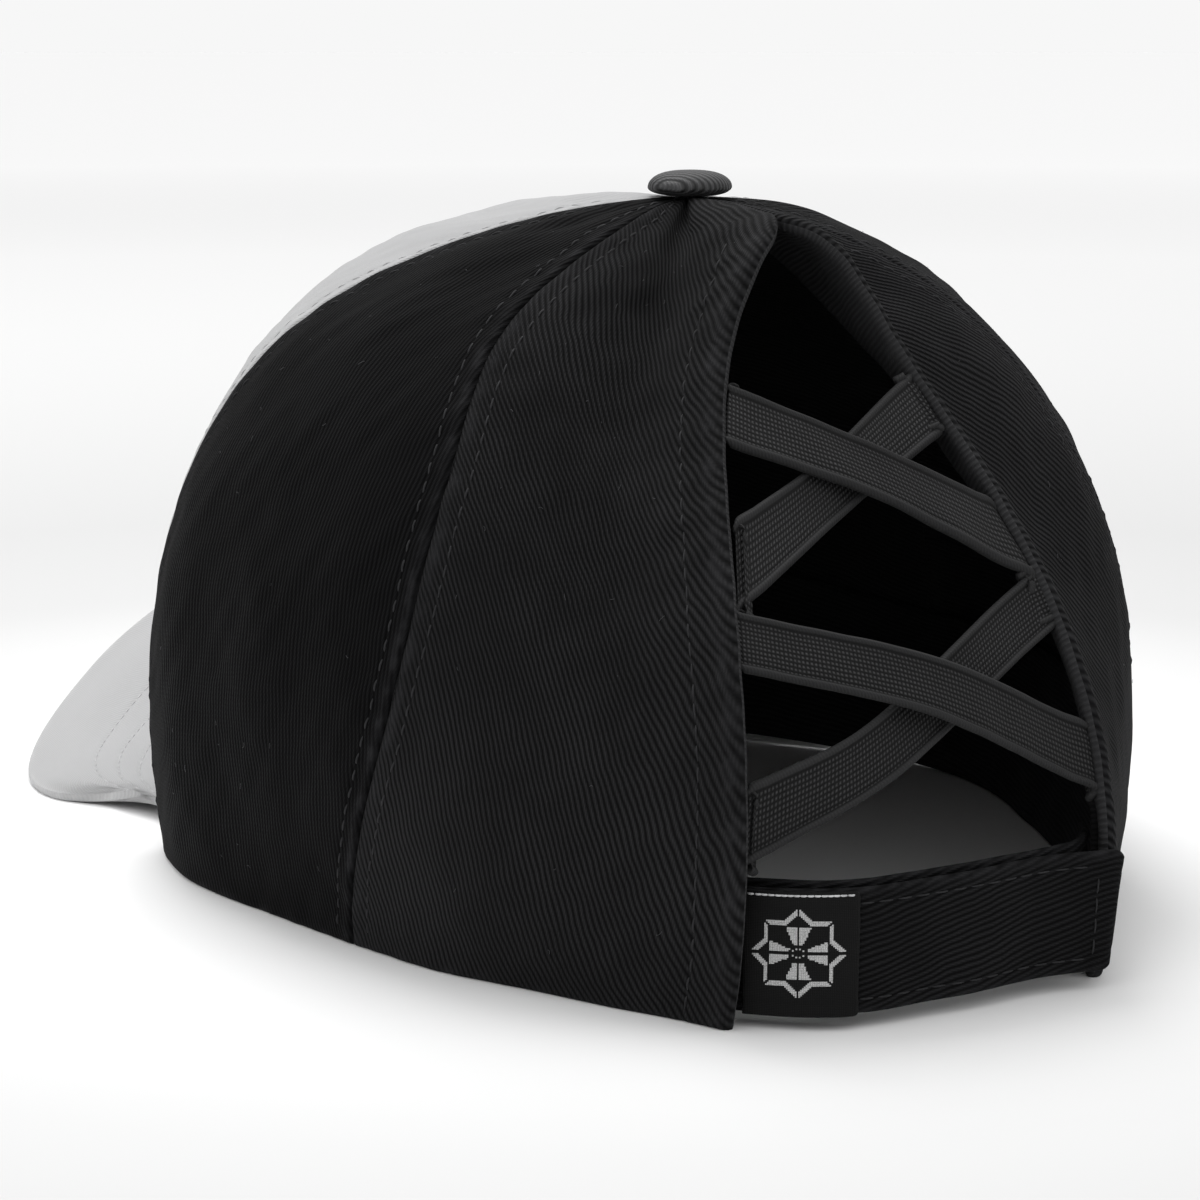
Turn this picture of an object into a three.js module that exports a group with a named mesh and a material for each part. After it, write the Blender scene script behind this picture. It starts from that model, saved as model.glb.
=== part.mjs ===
// Ponytail baseball cap, in millimetres: six cloth panels under a covered button, a curved peak, two pairs of crossed
// elastics over the rear opening, a closure strap with its tab and label, and a sweatband.
// +Z is up, the peak points to -Y and the wearer's left is +X. The cap stands on its rim and on its peak's side edges.
// A turn is an angle in degrees round the button, from the front over the wearer's left to the back. A climb goes
// from 0 at the rim to 1 under the button.
import * as THREE from 'three';

// Crown
const crownLength = 209;
const crownWidth = 143;
const crownHeight = 114;
const clothWall = 1.2;
const pieceGap = 0.3;
const frontRise = 14;
const riseHalfTurn = 62;

// Rear opening and its turned hem
const openingWidth = 62.8;
const openingTop = 0.82;
const openingRound = 2.28;
const openingShoulder = 1.04;
const hemWidth = 6;
const hemWall = 2.4;

// Peak
const peakLength = 72;
const peakWidth = 174;
const peakArch = 27.5;
const peakWall = 3;
const peakHalfTurn = 48;

// Button
const buttonDiameter = 13.8;
const buttonHeight = 4.3;
const shankDiameter = 3;
const shankLength = 4;
const buttonHole = 3.6;

// Elastics
const elasticWidth = 8.8;
const elasticWall = 1.2;
const elasticTuck = 5;
const elasticGap = 0.5;

// Closure strap, its tab, the label and the sweatband
const strapWidth = 18.5;
const strapWall = 1.6;
const strapLift = 1.8;
const strapRise = 1;
const strapTuck = 8;
const strapShort = 0.4;
const strapProud = 2.2;
const strapEndCut = 1.8;
const closureInset = 2;
const tabWall = 1.2;
const tabRise = 0.7;
const labelLength = 16;
const labelTuck = 2;
const labelWall = 0.8;
const bandHeight = 30;
const bandWall = 1;
const bandLift = 0.6;
const bandEndTurn = 150;

// Colours
const black = { color: 0x1b1b1d, roughness: 0.95, metalness: 0 };
const lightGrey = { color: 0xd6d6d8, roughness: 0.9, metalness: 0 };
const charcoal = { color: 0x2a2a2c, roughness: 0.85, metalness: 0 };

// Crown sections every 30 degrees from the front to the back, mirrored on the other side. A section is a Bezier curve
// from the rim to the button: reach is the rim's radius over the plain oval's, lean is how far the lower handle
// stands out past the rim, shoulder how far out the upper handle lies, both over the rim's radius, and waist is the
// lower handle's height over the crown's.
const sectionStep = 30;
const crownSections = [
  { reach: 1.003, lean: -0.012, waist: 0.731, shoulder: 0.817 },
  { reach: 1.102, lean: 0.066, waist: 0.751, shoulder: 0.804 },
  { reach: 1.176, lean: 0.135, waist: 0.657, shoulder: 0.681 },
  { reach: 1, lean: 0.283, waist: 0.691, shoulder: 0.617 },
  { reach: 0.892, lean: 0.352, waist: 0.672, shoulder: 0.41 },
  { reach: 0.84, lean: 0.21, waist: 0.451, shoulder: 0.187 },
  { reach: 0.989, lean: 0.137, waist: 0.933, shoulder: 0.563 },
];

// Turns of the seams beside the front and beside the rear panels, at every fifth of the climb.
const seamRows = [
  { front: 57, rear: 104.5 },
  { front: 56, rear: 117 },
  { front: 56, rear: 119 },
  { front: 59.5, rear: 115 },
  { front: 71, rear: 119 },
  { front: 78, rear: 120 },
];

// Outer edge of the peak's underside, from the tip to the side corner: side over half the peak's width, forward over
// the way from the rim's corner to the tip, and height over the peak's arch.
const peakRows = [
  { side: 0, forward: 1, height: 1 },
  { side: 0.23, forward: 0.988, height: 0.96 },
  { side: 0.443, forward: 0.948, height: 0.79 },
  { side: 0.621, forward: 0.865, height: 0.55 },
  { side: 0.764, forward: 0.76, height: 0.31 },
  { side: 0.885, forward: 0.625, height: 0.13 },
  { side: 0.966, forward: 0.485, height: 0.03 },
  { side: 1, forward: 0.362, height: 0 },
  { side: 0.983, forward: 0.266, height: 0 },
  { side: 0.908, forward: 0.192, height: 0.03 },
  { side: 0.839, forward: 0.108, height: 0.13 },
];

// Elastics: the climbs at which the middle of each one passes the left and the right edge of the opening. Its furthest
// point off the straight way lies at a share of that way from the left, and bow and rise, over the way's length, are how
// far it stands out backwards and up. face is how upright it stands there, from 0, flat on the crown, to 1. layer is 1
// for the one that lies under the others.
const elasticRows = [
  { name: 'elastic_upper_outer', left: 0.535, right: 0.395, share: 0.5, bow: 0.07, rise: 0.02, face: 0.5, layer: 0 },
  { name: 'elastic_upper_inner', left: 0.395, right: 0.535, share: 0.5, bow: 0.02, rise: 0, face: 0.5, layer: 1 },
  { name: 'elastic_lower_outer', left: 0.315, right: 0.19, share: 0.5, bow: 0.08, rise: 0.05, face: 0.3, layer: 0 },
  { name: 'elastic_lower_inner', left: 0.165, right: 0.325, share: 0.35, bow: 0.08, rise: -0.02, face: 0.3, layer: 1 },
];

// The closure's path between the hems, seen from above, from the left to the right: side over half the opening's width,
// and back, over the crown's length, behind the line between the hems.
const closureRows = [
  { side: 0.5, back: 0.0148 },
  { side: -0.05, back: 0.0177 },
  { side: -0.64, back: 0.0075 },
];

const radians = THREE.MathUtils.degToRad;
const lerp = THREE.MathUtils.lerp;
const clamp = THREE.MathUtils.clamp;
const smoothstep = THREE.MathUtils.smoothstep;

// Smooth curve through a column of evenly spaced rows. A mirrored table repeats its second row before the first and
// its last but one after the last.
function column(rows, name, place, mirrored = false) {
  const last = rows.length - 1;
  const index = clamp(Math.floor(place), 0, last - 1);
  const share = place - index;
  const value = (row) => {
    if (row < 0) return mirrored ? rows[1][name] : 2 * rows[0][name] - rows[1][name];
    if (row > last) return mirrored ? rows[last - 1][name] : 2 * rows[last][name] - rows[last - 1][name];
    return rows[row][name];
  };
  const before = value(index - 1);
  const from = value(index);
  const to = value(index + 1);
  const after = value(index + 2);
  const linear = (to - before) / 2;
  const square = before - 2.5 * from + 2 * to - after / 2;
  const cube = (3 * (from - to) + after - before) / 2;
  return from + share * (linear + share * (square + share * cube));
}

// The turn's size away from the front, from 0 to 180.
function awayFromFront(turn) {
  const wrapped = ((turn % 360) + 360) % 360;
  return wrapped > 180 ? 360 - wrapped : wrapped;
}

function ovalRadius(turn) {
  const across = Math.sin(radians(turn)) / (crownWidth / 2);
  const along = Math.cos(radians(turn)) / (crownLength / 2);
  return 1 / Math.hypot(across, along);
}

// The rim lies on the ground at the sides and the back, and rises over the peak.
function rimHeight(turn) {
  const away = Math.min(awayFromFront(turn) / riseHalfTurn, 1);
  return frontRise * Math.cos(away * Math.PI / 2) ** 2;
}

// Radius and height of the crown's outer face.
function crownProfile(turn, climb) {
  const place = awayFromFront(turn) / sectionStep;
  const section = (name) => column(crownSections, name, place, true);
  const rimRadius = ovalRadius(turn) * section('reach');
  const low = rimHeight(turn);
  const left = 1 - climb;
  const weights = [left ** 3, 3 * left ** 2 * climb, 3 * left * climb ** 2, climb ** 3];
  const radius = rimRadius * (weights[0] + weights[1] * (1 + section('lean')) + weights[2] * section('shoulder'));
  const waist = low + section('waist') * (crownHeight - low);
  const height = low * weights[0] + waist * weights[1] + crownHeight * (weights[2] + weights[3]);
  return { radius, height };
}

function crownPoint(turn, climb) {
  const { radius, height } = crownProfile(turn, climb);
  const angle = radians(turn);
  return new THREE.Vector3(radius * Math.sin(angle), -radius * Math.cos(angle), height);
}

// Outward direction on the crown, level at the rim so that the rim's underside is flat.
function crownNormal(turn, climb) {
  const turnStep = 0.5;
  const climbStep = 0.004;
  const lower = Math.max(climb - climbStep, 0);
  const upper = Math.min(climb + climbStep, 1 - climbStep);
  const along = crownPoint(turn + turnStep, climb).sub(crownPoint(turn - turnStep, climb));
  const up = crownPoint(turn, upper).sub(crownPoint(turn, lower));
  const normal = along.cross(up).normalize();
  const levelClimb = 0.05;
  normal.z *= smoothstep(climb, 0, levelClimb);
  return normal.normalize();
}

// A point at a distance outside the crown's outer face, or inside it when the distance is negative.
function crownSkin(turn, climb, distance) {
  return crownPoint(turn, climb).addScaledVector(crownNormal(turn, climb), distance);
}

// Halves an interval until the test changes sides in it.
function bisect(from, to, test) {
  let low = from;
  let high = to;
  for (let step = 0; step < 30; step += 1) {
    const middle = (low + high) / 2;
    if (test(middle)) low = middle;
    else high = middle;
  }
  return (low + high) / 2;
}

function climbAtHeight(turn, height) {
  return bisect(0, 0.9, (climb) => crownProfile(turn, climb).height < height);
}

function climbAtRadius(turn, radius) {
  return bisect(0.7, 1, (climb) => crownProfile(turn, climb).radius > radius);
}

function openingHalfWidth(climb) {
  const share = Math.min(climb / openingTop, 1);
  return openingWidth / 2 * (1 - share ** openingRound) ** openingShoulder;
}

// Turn of the opening's left edge, and of the back seam above the opening.
function openingTurn(climb) {
  const half = openingHalfWidth(climb);
  const leastTurn = 115;
  return bisect(leastTurn, 180, (turn) => crownProfile(turn, climb).radius * Math.sin(radians(turn)) > half);
}

function seamTurn(name, climb) {
  return column(seamRows, name, climb * (seamRows.length - 1));
}

// Turns a closed mesh's faces outwards.
function faceOut(geometry) {
  const position = geometry.getAttribute('position');
  const index = geometry.getIndex();
  const corner = (slot) => new THREE.Vector3().fromBufferAttribute(position, index.getX(slot));
  let volume = 0;
  for (let slot = 0; slot < index.count; slot += 3) {
    volume += corner(slot).dot(corner(slot + 1).cross(corner(slot + 2)));
  }
  if (volume < 0) {
    for (let slot = 0; slot < index.count; slot += 3) {
      const kept = index.getX(slot);
      index.setX(slot, index.getX(slot + 1));
      index.setX(slot + 1, kept);
    }
  }
  geometry.computeVertexNormals();
  return geometry;
}

// A sheet with two faces: face(across, along, side) gives its points, with side 0 on one face and 1 on the other.
function sheet(columns, rows, face) {
  const points = [];
  for (const side of [0, 1]) {
    for (let row = 0; row <= rows; row += 1) {
      for (let col = 0; col <= columns; col += 1) points.push(face(col / columns, row / rows, side));
    }
  }
  const sidePoints = (rows + 1) * (columns + 1);
  const at = (col, row, side) => side * sidePoints + row * (columns + 1) + col;
  const index = [];
  const quad = (a, b, c, d) => index.push(a, b, c, a, c, d);
  for (let row = 0; row < rows; row += 1) {
    for (let col = 0; col < columns; col += 1) {
      quad(at(col, row, 0), at(col + 1, row, 0), at(col + 1, row + 1, 0), at(col, row + 1, 0));
      quad(at(col, row, 1), at(col, row + 1, 1), at(col + 1, row + 1, 1), at(col + 1, row, 1));
    }
  }
  for (let col = 0; col < columns; col += 1) {
    quad(at(col, 0, 0), at(col, 0, 1), at(col + 1, 0, 1), at(col + 1, 0, 0));
    quad(at(col, rows, 0), at(col + 1, rows, 0), at(col + 1, rows, 1), at(col, rows, 1));
  }
  for (let row = 0; row < rows; row += 1) {
    quad(at(0, row, 0), at(0, row + 1, 0), at(0, row + 1, 1), at(0, row, 1));
    quad(at(columns, row, 0), at(columns, row, 1), at(columns, row + 1, 1), at(columns, row + 1, 0));
  }
  const geometry = new THREE.BufferGeometry();
  geometry.setAttribute('position', new THREE.Float32BufferAttribute(points.flatMap((p) => p.toArray()), 3));
  geometry.setIndex(index);
  return faceOut(geometry);
}

function addMesh(parent, name, geometry, finish) {
  const mesh = new THREE.Mesh(geometry, new THREE.MeshStandardMaterial(finish));
  mesh.name = name;
  parent.add(mesh);
}

// One crown panel between two edges, which are turns at a climb. Its rows are even up to the opening's top, and the
// last few run on to the button's hole. hem(share) is the wall across the panel, from its first edge to its second.
function crownPanel(from, to, hem = () => clothWall) {
  const columns = 9;
  const evenRows = 12;
  const topRows = 3;
  const rows = evenRows + topRows;
  const face = (across, along, side) => {
    const row = Math.round(along * rows);
    const even = Math.min(row / evenRows, 1) * openingTop;
    const guess = lerp(from(even), to(even), across);
    const top = climbAtRadius(guess, buttonHole);
    const climb = lerp(even, top, Math.max(row - evenRows, 0) / topRows);
    const halfGap = pieceGap / 2 / Math.max(crownProfile(guess, climb).radius, buttonHole);
    const gapTurn = THREE.MathUtils.radToDeg(halfGap) * Math.sign(to(climb) - from(climb));
    const turn = lerp(from(climb) + gapTurn, to(climb) - gapTurn, across);
    const point = crownSkin(turn, climb, -side * hem(across, climb));
    const leftOrRight = Math.sign(turn);
    point.x = leftOrRight * Math.max(leftOrRight * point.x, pieceGap / 2);
    return point;
  };
  return sheet(columns, rows, face);
}

function frontPanel(sign) {
  return crownPanel(() => 0, (climb) => sign * seamTurn('front', climb));
}

function sidePanel(sign) {
  return crownPanel((climb) => sign * seamTurn('front', climb), (climb) => sign * seamTurn('rear', climb));
}

// The rear panel's edge at the opening is folded in to a double wall.
function rearPanel(sign) {
  const seam = (climb) => seamTurn('rear', climb);
  const edge = (climb) => openingTurn(climb);
  const wall = (across, climb) => {
    const reach = radians(edge(climb) - seam(climb)) * crownProfile(seam(climb), climb).radius;
    const toEdge = (1 - across) * reach;
    return lerp(hemWall, clothWall, smoothstep(toEdge, hemWidth * 0.6, hemWidth * 1.4));
  };
  return crownPanel((climb) => sign * seam(climb), (climb) => sign * edge(climb), wall);
}

// The peak's sheet runs in straight lines from the rim to its outer edge.
function peak() {
  const columns = 36;
  const rows = 6;
  const corner = crownPoint(peakHalfTurn, 0);
  const tip = crownPoint(0, 0).y - peakLength;
  const edge = (across) => {
    const side = 2 * across - 1;
    const place = Math.abs(side) * (peakRows.length - 1);
    const reach = column(peakRows, 'side', place) * Math.sign(side) * peakWidth / 2;
    const forward = column(peakRows, 'forward', place, true);
    const height = Math.max(column(peakRows, 'height', place, true), 0);
    return new THREE.Vector3(reach, lerp(corner.y, tip, forward), height * peakArch);
  };
  const root = (across, lift) => {
    const turn = (2 * across - 1) * peakHalfTurn;
    return crownSkin(turn, climbAtHeight(turn, rimHeight(turn) + lift), pieceGap);
  };
  const under = (across, along) => root(across, 0).lerp(edge(across), along);
  const normal = (across, along) => {
    const step = 0.01;
    const sideways = under(Math.min(across + step, 1), along).sub(under(Math.max(across - step, 0), along));
    const outwards = under(across, Math.min(along + step, 1)).sub(under(across, Math.max(along - step, 0)));
    const levelFrom = 0.75;
    const level = smoothstep(Math.abs(2 * across - 1), levelFrom, 1);
    return outwards.cross(sideways).normalize().lerp(new THREE.Vector3(0, 0, 1), level).normalize();
  };
  // The upper face starts up along the crown and goes over to the sheet's own normal.
  const face = (across, along, side) => {
    const point = under(across, along);
    if (side === 0) return point;
    const rise = root(across, peakWall).sub(root(across, 0));
    return point.add(rise.lerp(normal(across, along).multiplyScalar(peakWall), smoothstep(along, 0, 0.5)));
  };
  return sheet(columns, rows, face);
}

// Half section of the button, from its shank's foot over the flat underside and the dome to the axis.
function button() {
  const radius = buttonDiameter / 2;
  const profile = [
    new THREE.Vector2(0, -shankLength),
    new THREE.Vector2(shankDiameter / 2, -shankLength),
    new THREE.Vector2(shankDiameter / 2, 0),
    new THREE.Vector2(radius * 0.9, 0),
  ];
  const domeSteps = 8;
  const lowest = -40;
  for (let step = 0; step <= domeSteps; step += 1) {
    const angle = radians(lerp(lowest, 90, step / domeSteps));
    const middle = buttonHeight * 0.35;
    const tall = angle < 0 ? middle : buttonHeight - middle;
    const out = step === domeSteps ? 0 : radius * Math.cos(angle) ** 0.7;
    profile.push(new THREE.Vector2(out, middle + tall * Math.sin(angle)));
  }
  const geometry = new THREE.LatheGeometry(profile, 20);
  geometry.rotateX(Math.PI / 2);
  geometry.translate(0, 0, crownHeight + pieceGap);
  return geometry;
}

// A strip between its lower and its upper edge, which are curves, with its outer face on them.
function strip(lower, upper, wall, steps) {
  const face = (across, along, side) => {
    const low = lower.getPointAt(along);
    const high = upper.getPointAt(along);
    const tangent = lower.getTangentAt(along).add(upper.getTangentAt(along));
    const inward = high.clone().sub(low).cross(tangent).normalize();
    return low.lerp(high, across).addScaledVector(inward, side * wall);
  };
  return sheet(1, steps, face);
}

// The nearest point on the skin that lies at a depth inside the crown's outer face.
function ontoSkin(point, depth) {
  const settling = 8;
  let outer = point.clone();
  let skin = outer;
  for (let step = 0; step < settling; step += 1) {
    const turn = THREE.MathUtils.radToDeg(Math.atan2(outer.x, -outer.y));
    const climb = climbAtHeight(turn, outer.z);
    const foot = crownPoint(turn, climb);
    const normal = crownNormal(turn, climb);
    outer = point.clone().addScaledVector(normal, foot.clone().sub(point).dot(normal));
    skin = foot.addScaledVector(normal, -depth);
  }
  return skin;
}

// An elastic runs from left to right. Its ends lie inside the hems, and it bows out between them.
function elastic(row) {
  const depth = hemWall + elasticGap + row.layer * (elasticWall + elasticGap);
  const left = crownSkin(openingTurn(row.left), row.left, -depth);
  const right = crownSkin(-openingTurn(row.right), row.right, -depth);
  const way = right.clone().sub(left);
  const span = way.length();
  way.normalize();
  const backward = new THREE.Vector3(0, 1, 0);
  const upward = new THREE.Vector3(0, 0, 1);
  const middle = left.clone().lerp(right, row.share);
  middle.addScaledVector(backward, row.bow * span).addScaledVector(upward, row.rise * span);
  const leftNormal = crownNormal(openingTurn(row.left), row.left);
  const rightNormal = crownNormal(-openingTurn(row.right), row.right);
  const flat = leftNormal.clone().add(rightNormal).normalize();
  const edge = (side) => {
    const offset = (normal) => normal.clone().cross(way).normalize().multiplyScalar(side * elasticWidth / 2);
    const end = (point, normal, past) => {
      const target = point.clone().addScaledVector(way, past).add(offset(normal));
      return ontoSkin(target, depth);
    };
    return new THREE.CatmullRomCurve3([
      end(left, leftNormal, -elasticTuck),
      end(left, leftNormal, 0),
      middle.clone().add(offset(flat.clone().lerp(backward, row.face))),
      end(right, rightNormal, 0),
      end(right, rightNormal, elasticTuck),
    ], false, 'centripetal');
  };
  return strip(edge(-1), edge(1), elasticWall, 20);
}

// A flat upright band along a curve, or along its stretch between two shares. distance is how far its middle lies out
// from the curve, and its end is cut back at the bottom by a share of the curve.
function band(curve, size) {
  const { width, wall, steps, from = 0, to = 1, distance = 0, cut = 0 } = size;
  const upward = new THREE.Vector3(0, 0, 1);
  const face = (across, along, side) => {
    const share = lerp(from, to - cut * (1 - across), along);
    const out = curve.getTangentAt(share).cross(upward).normalize();
    const point = curve.getPointAt(share).addScaledVector(upward, (across - 0.5) * width);
    return point.addScaledVector(out, distance + (0.5 - side) * wall);
  };
  return sheet(1, steps, face);
}

// A point by a hem at half the closure's height. past is how far it lies from the opening along the panel, and depth
// how far inside the crown's outer face.
function hemPoint(sign, past, depth) {
  const middle = strapLift + strapWidth / 2;
  const edge = openingTurn(0);
  const turn = edge - THREE.MathUtils.radToDeg(past / crownProfile(edge, 0).radius);
  return crownSkin(sign * turn, climbAtHeight(turn, middle), -depth);
}

// The closure's points between the hems, moved towards the front by a distance.
function closurePoints(inwards) {
  const corner = hemPoint(1, 0, 0);
  return closureRows.map((row) => {
    const back = corner.y + row.back * crownLength - inwards;
    return new THREE.Vector3(row.side * openingWidth / 2, back, corner.z);
  });
}

// The closure rises a little from the left to the right.
function closureCurve(points, lift) {
  for (const point of points) {
    const rise = clamp(0.5 - point.x / openingWidth, 0, 1) * strapRise;
    point.z = strapLift + strapWidth / 2 + lift + rise;
  }
  return new THREE.CatmullRomCurve3(points, false, 'centripetal');
}

// The strap comes from inside the left hem, where the label's end lies on it, and its free end stands in front of the
// right hem's edge.
function strapCurve() {
  const leftDepth = hemWall + closureInset + labelWall + strapWall / 2;
  const end = hemPoint(-1, 0, 0);
  end.x += strapShort;
  end.y += strapProud + strapWall / 2;
  const left = [hemPoint(1, strapTuck, leftDepth), hemPoint(1, labelTuck, leftDepth)];
  return closureCurve([...left, ...closurePoints(0), end], 0);
}

function closureStrap() {
  const curve = strapCurve();
  const cut = strapEndCut / curve.getLength();
  return band(curve, { width: strapWidth, wall: strapWall, steps: 24, cut });
}

// The label lies on the strap's outer face, from just inside the left hem.
function label() {
  const curve = strapCurve();
  const start = curve.getPoint(0);
  const tucked = (strapTuck - labelTuck) / strapTuck * start.distanceTo(hemPoint(1, 0, 0));
  const from = bisect(0, 0.5, (share) => curve.getPointAt(share).distanceTo(start) < tucked);
  const to = from + labelLength / curve.getLength();
  const distance = strapWall / 2 + pieceGap + labelWall / 2;
  return band(curve, { width: strapWidth, wall: labelWall, steps: 8, from, to, distance });
}

// The tab comes from inside the right hem and ends in front of the strap at the left one.
function closureTab() {
  const inwards = strapWall / 2 + 2 * pieceGap + tabWall / 2;
  const leftDepth = hemWall + closureInset + labelWall + strapWall / 2 + inwards;
  const rightDepth = hemWall + closureInset + tabWall / 2;
  const left = hemPoint(1, labelTuck, leftDepth);
  const right = [hemPoint(-1, 0, rightDepth), hemPoint(-1, strapTuck, rightDepth)];
  const curve = closureCurve([left, ...closurePoints(inwards), ...right], tabRise);
  return band(curve, { width: strapWidth, wall: tabWall, steps: 24 });
}

function sweatband() {
  const depth = clothWall + 2 * pieceGap;
  const face = (across, along, side) => {
    const turn = lerp(-bandEndTurn, bandEndTurn, along);
    const low = rimHeight(turn) + bandLift;
    const climb = climbAtHeight(turn, low + across * bandHeight);
    return crownSkin(turn, climb, -depth - side * bandWall);
  };
  return sheet(4, 44, face);
}

const cap = new THREE.Group();
addMesh(cap, 'front_panel_left', frontPanel(1), lightGrey);
addMesh(cap, 'front_panel_right', frontPanel(-1), lightGrey);
addMesh(cap, 'side_panel_left', sidePanel(1), black);
addMesh(cap, 'side_panel_right', sidePanel(-1), black);
addMesh(cap, 'rear_panel_left', rearPanel(1), black);
addMesh(cap, 'rear_panel_right', rearPanel(-1), black);
addMesh(cap, 'peak', peak(), lightGrey);
addMesh(cap, 'button', button(), black);
for (const row of elasticRows) addMesh(cap, row.name, elastic(row), charcoal);
addMesh(cap, 'closure_strap', closureStrap(), black);
addMesh(cap, 'closure_tab', closureTab(), black);
addMesh(cap, 'label', label(), black);
addMesh(cap, 'sweatband', sweatband(), black);

// The origin is on the ground under the middle of the whole cap.
const middle = new THREE.Box3().setFromObject(cap).getCenter(new THREE.Vector3());
cap.position.y = -middle.y;

export default cap;
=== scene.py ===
"""Ponytail baseball cap: twill panels with felled seams, a grey peak, ribbed elastics and a labelled strap."""
import math
import bpy
import numpy as np
from mathutils import Matrix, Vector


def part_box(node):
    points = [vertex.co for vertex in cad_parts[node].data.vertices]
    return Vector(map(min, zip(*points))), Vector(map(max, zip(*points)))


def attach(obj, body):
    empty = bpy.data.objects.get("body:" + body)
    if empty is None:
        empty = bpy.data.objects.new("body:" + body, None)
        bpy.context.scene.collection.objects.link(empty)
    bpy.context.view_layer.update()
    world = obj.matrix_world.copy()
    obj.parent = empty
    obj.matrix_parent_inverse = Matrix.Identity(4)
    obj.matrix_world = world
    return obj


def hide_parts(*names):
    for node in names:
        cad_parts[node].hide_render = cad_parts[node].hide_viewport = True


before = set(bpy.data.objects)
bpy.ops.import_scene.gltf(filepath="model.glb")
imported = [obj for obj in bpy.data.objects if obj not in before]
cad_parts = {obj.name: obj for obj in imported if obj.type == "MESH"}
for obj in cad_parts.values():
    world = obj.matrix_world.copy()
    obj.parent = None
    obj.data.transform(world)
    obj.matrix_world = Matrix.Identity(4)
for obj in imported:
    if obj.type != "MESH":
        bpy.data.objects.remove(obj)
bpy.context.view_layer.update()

# The crown's own coordinates are millimetres from the ground point under the button.
MM = 0.001
TURN = 2 * math.pi
button_low, button_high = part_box("button")
AXIS = np.array([0, (button_low.y + button_high.y) / 2, 0])

# Crown
CROWN_LENGTH = 209.0
CROWN_WIDTH = 143.0
CROWN_HEIGHT = 114.0
CLOTH_WALL = 1.2
PIECE_GAP = 0.3
FRONT_RISE = 14.0
RISE_HALF_TURN = 62.0
HOLE_RADIUS = 3.0
SECTIONS = {
    "reach": [1.003, 1.102, 1.176, 1, 0.892, 0.84, 0.989],
    "lean": [-0.012, 0.066, 0.135, 0.283, 0.352, 0.21, 0.137],
    "waist": [0.731, 0.751, 0.657, 0.691, 0.672, 0.451, 0.933],
    "shoulder": [0.817, 0.804, 0.681, 0.617, 0.41, 0.187, 0.563],
}
FRONT_SEAM = [57, 56, 56, 59.5, 71, 78]
REAR_SEAM = [104.5, 117, 119, 115, 119, 120]

# Rear opening
OPENING_WIDTH = 62.8
OPENING_TOP = 0.82
OPENING_ROUND = 2.28
OPENING_SHOULDER = 1.04
HEM_WIDTH = 6.0
HEM_WALL = 2.4

# Relief of the crown's cloth: heights and lengths of its waves, and the gathers under the button
BROAD_HEIGHT = 0.42
BROAD_LENGTH = 30
SMALL_HEIGHT = 0.1
SMALL_LENGTH = 8
GATHER_HEIGHT = 0.55
GATHERS = 2.5
GATHER_CLIMBS = (0.72, 0.86)
FLAT_MARGIN = 12
RIM_ROUND = 0.7

# Button
BUTTON_RADIUS = 6.9
BUTTON_TALL = 4.3

# Peak
PEAK_LENGTH = 72.0
PEAK_WIDTH = 174.0
PEAK_ARCH = 27.5
PEAK_WALL = 3.0
PEAK_HALF_TURN = 48.0
PEAK_SIDE = [0, 0.23, 0.443, 0.621, 0.764, 0.885, 0.966, 1, 0.983, 0.908, 0.839]
PEAK_FORWARD = [1, 0.988, 0.948, 0.865, 0.76, 0.625, 0.485, 0.362, 0.266, 0.192, 0.108]
PEAK_HEIGHT = [1, 0.96, 0.79, 0.55, 0.31, 0.13, 0.03, 0, 0, 0.03, 0.13]
PEAK_ROWS = [0.17, 0.29, 0.41, 0.53, 0.65]
PEAK_THIN = 15

# Elastics: climbs at the left and right edge, then share, bow, rise, face and layer of the middle.
ELASTIC_WIDTH = 8.8
ELASTIC_WALL = 1.2
ELASTIC_TUCK = 5.0
ELASTIC_GAP = 0.5
ELASTICS = {
    "elastic_upper_outer": (0.535, 0.395, 0.5, 0.07, 0.02, 0.5, 0),
    "elastic_upper_inner": (0.395, 0.535, 0.5, 0.02, 0.0, 0.5, 1),
    "elastic_lower_outer": (0.315, 0.19, 0.5, 0.08, 0.05, 0.3, 0),
    "elastic_lower_inner": (0.165, 0.325, 0.35, 0.08, -0.02, 0.3, 1),
}

# Closure, label and sweatband
STRAP_WIDTH = 18.5
STRAP_WALL = 1.6
STRAP_LIFT = 1.8
STRAP_RISE = 1.0
STRAP_TUCK = 8.0
STRAP_SHORT = 0.4
STRAP_PROUD = 2.2
STRAP_END_CUT = 1.8
CLOSURE_INSET = 2.0
TAB_WALL = 1.2
TAB_RISE = 0.7
LABEL_LENGTH = 16.0
LABEL_TUCK = 2.0
LABEL_WALL = 0.8
CLOSURE_SIDE = [0.5, -0.05, -0.64]
CLOSURE_BACK = [0.0148, 0.0177, 0.0075]
BAND_HEIGHT = 30.0
BAND_WALL = 1.0
BAND_LIFT = 0.6
# The band's lower edge keeps only this share of the front rim's rise, so it hangs below the rim: a dark sheet in place
# of shade inside the cap
BAND_SHADE_DROP = 0.25
BAND_END_TURN = 150.0

# Sewing
SEAM_ROW = 4.2
STITCH_PITCH = 3.1
STITCH_LENGTH = 2.5
THREAD_RADIUS = 0.17
EDGE_STEPS = [0, 0.2, 0.45, 0.8, 1.2, 1.7, 2.3, 3, 3.8, 4.5, 4.8, 5.1, 5.5, 6, 6.6, 7.4, 8.4]
FULL_RELIEF_WIDTH = 26.0
STITCH_INSET = 2.2
STRAP_STITCHES = (12, 4)
LINT = {"side_panel_left": 40, "rear_panel_left": 34, "rear_panel_right": 16, "side_panel_right": 30}
LINT_RADIUS = 0.035

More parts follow.
